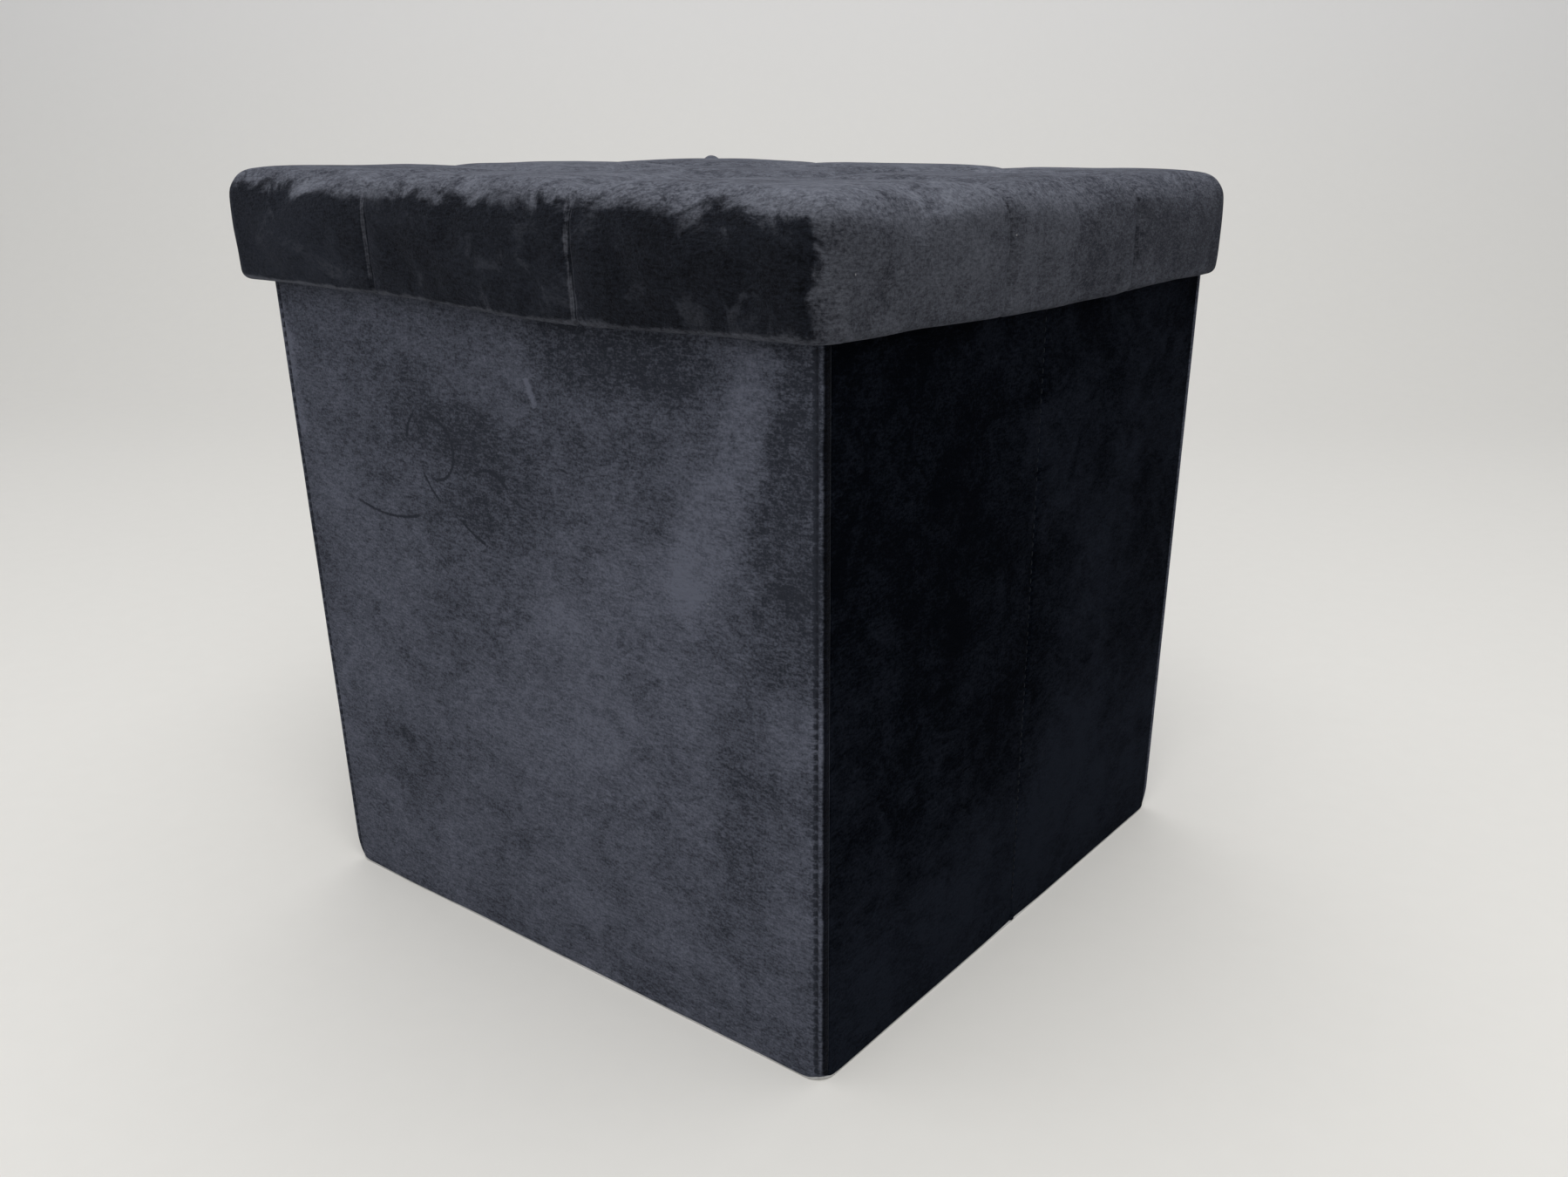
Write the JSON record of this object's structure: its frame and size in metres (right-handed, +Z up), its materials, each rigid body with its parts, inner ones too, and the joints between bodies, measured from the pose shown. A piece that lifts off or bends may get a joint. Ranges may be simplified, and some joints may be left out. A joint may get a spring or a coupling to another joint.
{
  "type": "storage ottoman",
  "caption": "Folding cube ottoman covered in dark velvet, with a padded quilted lift-off lid over an open storage box.",
  "frame": {"origin": "on the floor, under the centre of the box's four walls; the loose lid lies about 6 mm off this centre", "axes": "+Z up, +Y towards the fixed back wall, -Y towards the plain front wall, +X to the right"},
  "size_m": [0.38, 0.368, 0.385],
  "materials": {
    "velvet": "short-pile black velvet with a blue-grey sheen",
    "nonwoven_lining": "black spun-bonded non-woven, matt",
    "nonwoven_sheet": "pale grey spun-bonded non-woven, matt",
    "board": "raw fibreboard",
    "padding": "pale open-cell foam"
  },
  "bodies": {
    "back_wall": {"bottom_sheet": "nonwoven_sheet", "back_board": "board", "back_velvet": "velvet", "back_lining": "nonwoven_lining"},
    "right_rear_panel": {"right_rear_board": "board", "right_rear_velvet": "velvet", "right_rear_lining": "nonwoven_lining"},
    "right_front_panel": {"right_front_board": "board", "right_front_velvet": "velvet", "right_front_lining": "nonwoven_lining"},
    "front_wall": {"front_board": "board", "front_velvet": "velvet", "front_lining": "nonwoven_lining"},
    "left_rear_panel": {"left_rear_board": "board", "left_rear_velvet": "velvet", "left_rear_lining": "nonwoven_lining"},
    "left_front_panel": {"left_front_board": "board", "left_front_velvet": "velvet", "left_front_lining": "nonwoven_lining"},
    "base_flap": {"base_board": "board", "base_cover": "nonwoven_lining"},
    "lid": {"lid_board": "board", "lid_rim_front": "board", "lid_rim_back": "board", "lid_rim_left": "board", "lid_rim_right": "board", "lid_padding": "padding", "lid_cover": "velvet", "lid_lining": "nonwoven_lining"}
  },
  "joints": [
    {"name": "right_rear_fold", "type": "hinge", "parent": "back_wall", "child": "right_rear_panel", "pos_m": [0.1669, 0.1669, 0], "axis": [0, 0, -1], "range_deg": [0, 80]},
    {"name": "right_middle_fold", "type": "hinge", "parent": "right_rear_panel", "child": "right_front_panel", "pos_m": [0.1753, 0, 0], "axis": [0, 0, 1], "range_deg": [0, 160]},
    {"name": "front_wall_fold", "type": "hinge", "parent": "right_front_panel", "child": "front_wall", "pos_m": [0.1669, -0.1669, 0], "axis": [0, 0, -1], "range_deg": [0, 80]},
    {"name": "left_rear_fold", "type": "hinge", "parent": "back_wall", "child": "left_rear_panel", "pos_m": [-0.1669, 0.1669, 0], "axis": [0, 0, 1], "range_deg": [0, 80]},
    {"name": "left_middle_fold", "type": "hinge", "parent": "left_rear_panel", "child": "left_front_panel", "pos_m": [-0.1753, 0, 0], "axis": [0, 0, -1], "range_deg": [0, 160]},
    {"name": "base_flap_lift", "type": "hinge", "parent": "back_wall", "child": "base_flap", "pos_m": [0, 0.1689, 0.0045], "axis": [-1, 0, 0], "range_deg": [0, 90]},
    {"name": "lid_lift", "type": "slide", "parent": "back_wall", "child": "lid", "axis": [0, 0, 1], "range_m": [0, 0.12]}
  ],
  "couplings": [
    {"joint": "right_middle_fold", "follows": "right_rear_fold", "ratio": 2},
    {"joint": "front_wall_fold", "follows": "right_rear_fold", "ratio": 1},
    {"joint": "left_rear_fold", "follows": "right_rear_fold", "ratio": 1},
    {"joint": "left_middle_fold", "follows": "right_rear_fold", "ratio": 2}
  ]
}
